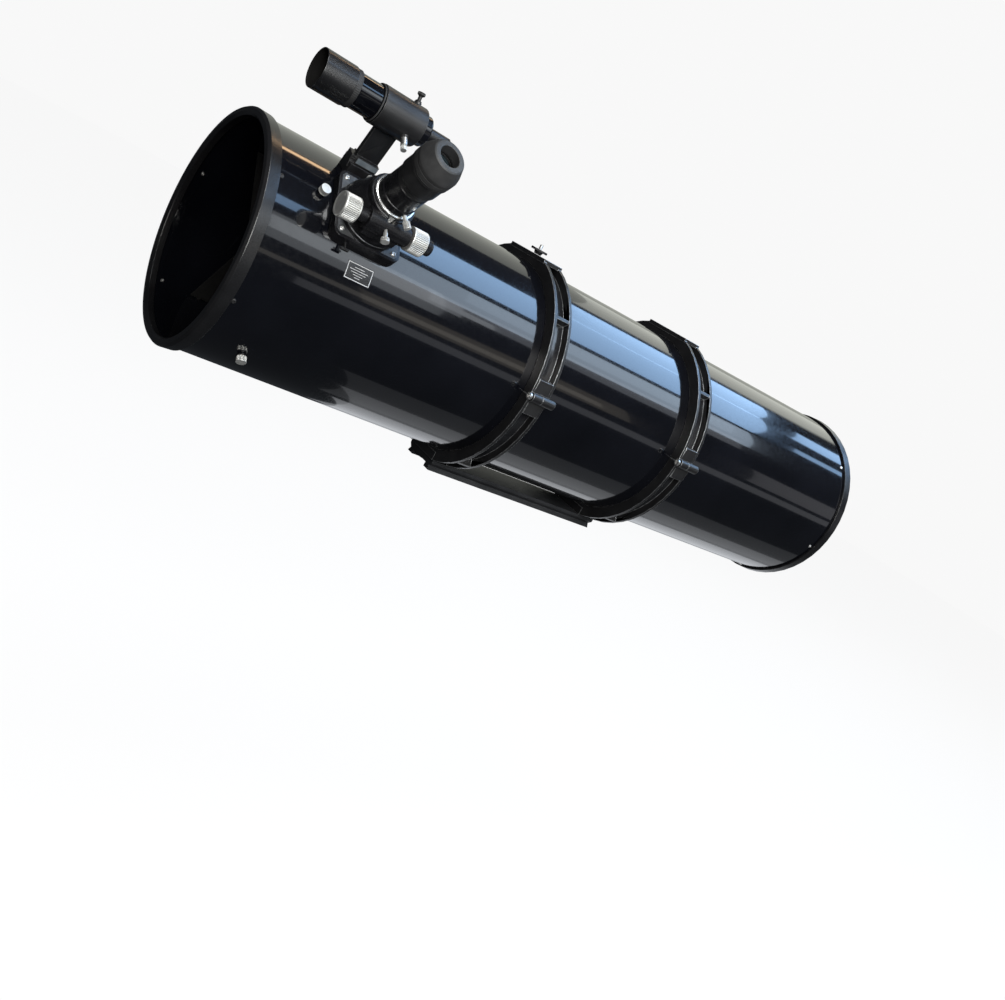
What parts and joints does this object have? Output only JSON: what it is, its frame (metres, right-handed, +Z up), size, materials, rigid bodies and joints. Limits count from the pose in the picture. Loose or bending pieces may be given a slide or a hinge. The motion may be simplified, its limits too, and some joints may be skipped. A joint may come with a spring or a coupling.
{
  "type": "newtonian reflector telescope",
  "caption": "Newtonian reflector: steel tube in hinged cradle rings on a dovetail plate, with a geared focuser and eyepiece, straight finder, spider, secondary and collimatable primary mirror.",
  "frame": {"origin": "middle of the dovetail plate's underside, on the land that the mount's saddle holds", "axes": "+X along the tube from the open end to the mirror end, +Z up from the plate through the tube's axis, -Y the hinge and focuser side"},
  "size_m": [1.427, 0.5152, 0.5267],
  "materials": {
    "gloss_black_paint": "gloss",
    "satin_black_casting": "satin",
    "matt_black_paint": "matt",
    "black_anodised": "satin",
    "bare_aluminium": "satin",
    "bright_steel": "bright",
    "black_plastic": "satin",
    "mirror_coating": "mirror",
    "rubber": "matt",
    "coated_glass": "polished"
  },
  "bodies": {
    "cradle": {"dovetail_plate": "satin_black_casting", "ring_lower_front": "satin_black_casting", "ring_lower_rear": "satin_black_casting", "hinge_pin_front": "bright_steel", "hinge_pin_rear": "bright_steel"},
    "ring_upper_front": {"ring_upper_front": "satin_black_casting"},
    "ring_upper_rear": {"ring_upper_rear": "satin_black_casting"},
    "clamp_screw_front": {"clamp_screw_front": "black_plastic"},
    "clamp_screw_rear": {"clamp_screw_rear": "black_plastic"},
    "accessory_screw": {"accessory_screw": "black_plastic"},
    "tube": {"main_tube": "gloss_black_paint", "front_end_ring": "satin_black_casting", "rear_cell_frame": "satin_black_casting", "spider": "matt_black_paint", "collimation_spring_1": "bright_steel", "collimation_spring_2": "bright_steel", "collimation_spring_3": "bright_steel", "focuser_base": "black_anodised", "focuser_body": "black_anodised", "finder_shoe": "satin_black_casting"},
    "mirror_cell": {"mirror_cell": "satin_black_casting", "primary_mirror": "mirror_coating"},
    "secondary_stem": {"secondary_centre_bolt": "bright_steel"},
    "secondary": {"secondary_holder": "matt_black_paint", "secondary_mirror": "mirror_coating"},
    "secondary_tilt_screw": {"secondary_tilt_screw": "bright_steel"},
    "drawtube": {"drawtube": "black_anodised", "eyepiece_adapter": "black_anodised"},
    "eyepiece": {"eyepiece_body": "black_anodised", "eyecup": "rubber", "eye_lens": "coated_glass", "field_lens": "coated_glass"},
    "eyepiece_clamp_screw": {"eyepiece_clamp_screw": "bare_aluminium"},
    "coarse_drive": {"focus_shaft": "bright_steel", "coarse_knob_front": "bare_aluminium", "coarse_knob_rear": "bare_aluminium"},
    "fine_knob": {"fine_knob": "black_anodised"},
    "draw_lock_screw": {"draw_lock_screw": "bare_aluminium"},
    "finder_bracket": {"finder_bracket": "satin_black_casting", "finder_spring_housing": "bright_steel"},
    "finder_shoe_screw": {"finder_shoe_screw": "bare_aluminium"},
    "finder_adjust_screw_a": {"finder_adjust_screw_a": "black_plastic"},
    "finder_adjust_screw_b": {"finder_adjust_screw_b": "black_plastic"},
    "finder_spring_plunger": {"finder_spring_plunger": "bare_aluminium"},
    "finder_pivot": {"finder_rubber_ring": "rubber"},
    "finder": {"finder_tube": "gloss_black_paint", "finder_eyepiece": "satin_black_casting"},
    "finder_lock_ring": {"finder_lock_ring": "satin_black_casting"},
    "finder_objective": {"finder_objective_cell": "satin_black_casting", "finder_objective_lens": "coated_glass"},
    "collimation_knob_1": {"collimation_knob_1": "black_plastic"},
    "cell_lock_screw_1": {"cell_lock_screw_1": "bright_steel"},
    "collimation_knob_2": {"collimation_knob_2": "black_plastic"},
    "cell_lock_screw_2": {"cell_lock_screw_2": "bright_steel"},
    "collimation_knob_3": {"collimation_knob_3": "black_plastic"},
    "cell_lock_screw_3": {"cell_lock_screw_3": "bright_steel"},
    "spider_nut_1": {"spider_nut_1": "bare_aluminium"},
    "spider_nut_2": {"spider_nut_2": "bare_aluminium"},
    "spider_nut_3": {"spider_nut_3": "bare_aluminium"},
    "spider_nut_4": {"spider_nut_4": "bare_aluminium"}
  },
  "joints": [
    {"name": "tube_rotation", "type": "hinge", "parent": "cradle", "child": "tube", "pos_m": [0, 0, 0.215], "axis": [1, 0, 0], "continuous": true},
    {"name": "ring_front_open", "type": "hinge", "parent": "cradle", "child": "ring_upper_front", "pos_m": [-0.1845, -0.203, 0.215], "axis": [1, 0, 0], "range_deg": [0, 95]},
    {"name": "clamp_front_turn", "type": "hinge", "parent": "ring_upper_front", "child": "clamp_screw_front", "pos_m": [-0.1845, 0.217, 0.245], "axis": [0, 0, 1], "range_deg": [0, 1080]},
    {"name": "ring_rear_open", "type": "hinge", "parent": "cradle", "child": "ring_upper_rear", "pos_m": [0.1785, -0.203, 0.215], "axis": [1, 0, 0], "range_deg": [0, 95]},
    {"name": "clamp_rear_turn", "type": "hinge", "parent": "ring_upper_rear", "child": "clamp_screw_rear", "pos_m": [0.1785, 0.217, 0.245], "axis": [0, 0, 1], "range_deg": [0, 1080]},
    {"name": "accessory_screw_turn", "type": "hinge", "parent": "ring_upper_front", "child": "accessory_screw", "pos_m": [-0.1845, 0, 0.42], "axis": [0, 0, 1], "range_deg": [0, 1080]},
    {"name": "drawtube_slide", "type": "slide", "parent": "tube", "child": "drawtube", "axis": [0, -0.7314, 0.682], "range_m": [0, 0.045]},
    {"name": "coarse_focus", "type": "hinge", "parent": "tube", "child": "coarse_drive", "pos_m": [-0.556, -0.1913, 0.34417], "axis": [1, 0, 0], "range_deg": [0, 740]},
    {"name": "fine_focus", "type": "hinge", "parent": "tube", "child": "fine_knob", "pos_m": [-0.486, -0.1913, 0.34417], "axis": [1, 0, 0], "range_deg": [0, 7400]},
    {"name": "draw_lock_turn", "type": "hinge", "parent": "tube", "child": "draw_lock_screw", "pos_m": [-0.5585, -0.21315, 0.33173], "axis": [0, -0.682, -0.7314], "range_deg": [0, 720]},
    {"name": "eyepiece_clamp_turn", "type": "hinge", "parent": "drawtube", "child": "eyepiece_clamp_screw", "pos_m": [-0.556, -0.18723, 0.38959], "axis": [0.3746, -0.6323, -0.6781], "range_deg": [0, 720]},
    {"name": "eyepiece_slide", "type": "slide", "parent": "drawtube", "child": "eyepiece", "axis": [0, -0.7314, 0.682], "range_m": [0, 0.065]},
    {"name": "finder_bracket_slide", "type": "slide", "parent": "tube", "child": "finder_bracket", "axis": [1, 0, 0], "range_m": [0, 0.042]},
    {"name": "finder_shoe_screw_turn", "type": "hinge", "parent": "tube", "child": "finder_shoe_screw", "pos_m": [-0.56, -0.08819, 0.38895], "axis": [0, -0.9336, -0.3584], "range_deg": [0, 720]},
    {"name": "finder_tilt_a", "type": "hinge", "parent": "finder_bracket", "child": "finder_pivot", "pos_m": [-0.6088, -0.10231, 0.48154], "axis": [0, -0.9925, 0.1219], "range_deg": [-1.2, 1.2]},
    {"name": "finder_tilt_b", "type": "hinge", "parent": "finder_pivot", "child": "finder", "pos_m": [-0.6088, -0.10231, 0.48154], "axis": [0, 0.6561, 0.7547], "range_deg": [-1.2, 1.2]},
    {"name": "finder_adjust_a_turn", "type": "hinge", "parent": "finder_bracket", "child": "finder_adjust_screw_a", "pos_m": [-0.55, -0.10231, 0.48154], "axis": [0, 0.1219, 0.9925], "range_deg": [-640, 640]},
    {"name": "finder_adjust_b_turn", "type": "hinge", "parent": "finder_bracket", "child": "finder_adjust_screw_b", "pos_m": [-0.55, -0.10231, 0.48154], "axis": [0, 0.7547, -0.6561], "range_deg": [-640, 640]},
    {"name": "finder_plunger_slide", "type": "slide", "parent": "finder_bracket", "child": "finder_spring_plunger", "axis": [0, -0.6947, -0.7193], "range_m": [0, 0.004], "stiffness_N_per_m": 600, "springref_m": -0.003},
    {"name": "finder_lock_ring_turn", "type": "hinge", "parent": "finder", "child": "finder_lock_ring", "pos_m": [-0.649, -0.10231, 0.48154], "axis": [1, 0, 0], "range_deg": [-180, 180]},
    {"name": "finder_objective_turn", "type": "hinge", "parent": "finder", "child": "finder_objective", "pos_m": [-0.673, -0.10231, 0.48154], "axis": [1, 0, 0], "range_deg": [-540, 540]},
    {"name": "cell_tilt", "type": "hinge", "parent": "tube", "child": "mirror_cell", "pos_m": [0.654, 0, 0.215], "axis": [0, 1, 0], "range_deg": [-0.8, 0.8]},
    {"name": "collimation_knob_1_turn", "type": "hinge", "parent": "tube", "child": "collimation_knob_1", "pos_m": [0.692, 0, 0.333], "axis": [1, 0, 0], "range_deg": [-600, 600]},
    {"name": "cell_lock_1_turn", "type": "hinge", "parent": "tube", "child": "cell_lock_screw_1", "pos_m": [0.692, 0, 0.299], "axis": [1, 0, 0], "range_deg": [0, 720]},
    {"name": "collimation_knob_2_turn", "type": "hinge", "parent": "tube", "child": "collimation_knob_2", "pos_m": [0.692, 0.10219, 0.156], "axis": [1, 0, 0], "range_deg": [-600, 600]},
    {"name": "cell_lock_2_turn", "type": "hinge", "parent": "tube", "child": "cell_lock_screw_2", "pos_m": [0.692, 0.07275, 0.173], "axis": [1, 0, 0], "range_deg": [0, 720]},
    {"name": "collimation_knob_3_turn", "type": "hinge", "parent": "tube", "child": "collimation_knob_3", "pos_m": [0.692, -0.10219, 0.156], "axis": [1, 0, 0], "range_deg": [-600, 600]},
    {"name": "cell_lock_3_turn", "type": "hinge", "parent": "tube", "child": "cell_lock_screw_3", "pos_m": [0.692, -0.07275, 0.173], "axis": [1, 0, 0], "range_deg": [0, 720]},
    {"name": "secondary_rotation", "type": "hinge", "parent": "tube", "child": "secondary_stem", "pos_m": [-0.628, 0, 0.215], "axis": [1, 0, 0], "continuous": true},
    {"name": "secondary_tilt", "type": "hinge", "parent": "secondary_stem", "child": "secondary", "pos_m": [-0.611, 0, 0.215], "axis": [0, 0.682, 0.7314], "range_deg": [-2.5, 2.5]},
    {"name": "secondary_screw_turn", "type": "hinge", "parent": "tube", "child": "secondary_tilt_screw", "pos_m": [-0.638, -0.01024, 0.22455], "axis": [1, 0, 0], "range_deg": [-320, 320]},
    {"name": "spider_nut_1_turn", "type": "hinge", "parent": "tube", "child": "spider_nut_1", "pos_m": [-0.63, -0.13435, 0.34935], "axis": [0, -0.7071, 0.7071], "range_deg": [0, 1080]},
    {"name": "spider_nut_2_turn", "type": "hinge", "parent": "tube", "child": "spider_nut_2", "pos_m": [-0.63, 0.13435, 0.34935], "axis": [0, 0.7071, 0.7071], "range_deg": [0, 1080]},
    {"name": "spider_nut_3_turn", "type": "hinge", "parent": "tube", "child": "spider_nut_3", "pos_m": [-0.63, 0.13435, 0.08065], "axis": [0, 0.7071, -0.7071], "range_deg": [0, 1080]},
    {"name": "spider_nut_4_turn", "type": "hinge", "parent": "tube", "child": "spider_nut_4", "pos_m": [-0.63, -0.13435, 0.08065], "axis": [0, -0.7071, -0.7071], "range_deg": [0, 1080]}
  ],
  "couplings": [
    {"joint": "coarse_focus", "follows": "drawtube_slide", "rad_per_m": 285.71},
    {"joint": "fine_focus", "follows": "drawtube_slide", "rad_per_m": 2857.1},
    {"joint": "finder_adjust_a_turn", "follows": "finder_tilt_a", "ratio": 527.79},
    {"joint": "finder_adjust_b_turn", "follows": "finder_tilt_b", "ratio": 527.79},
    {"joint": "collimation_knob_1_turn", "follows": "cell_tilt", "ratio": -741.42},
    {"joint": "collimation_knob_2_turn", "follows": "cell_tilt", "ratio": 370.71},
    {"joint": "collimation_knob_3_turn", "follows": "cell_tilt", "ratio": 370.71},
    {"joint": "secondary_screw_turn", "follows": "secondary_tilt", "ratio": 125.66}
  ]
}
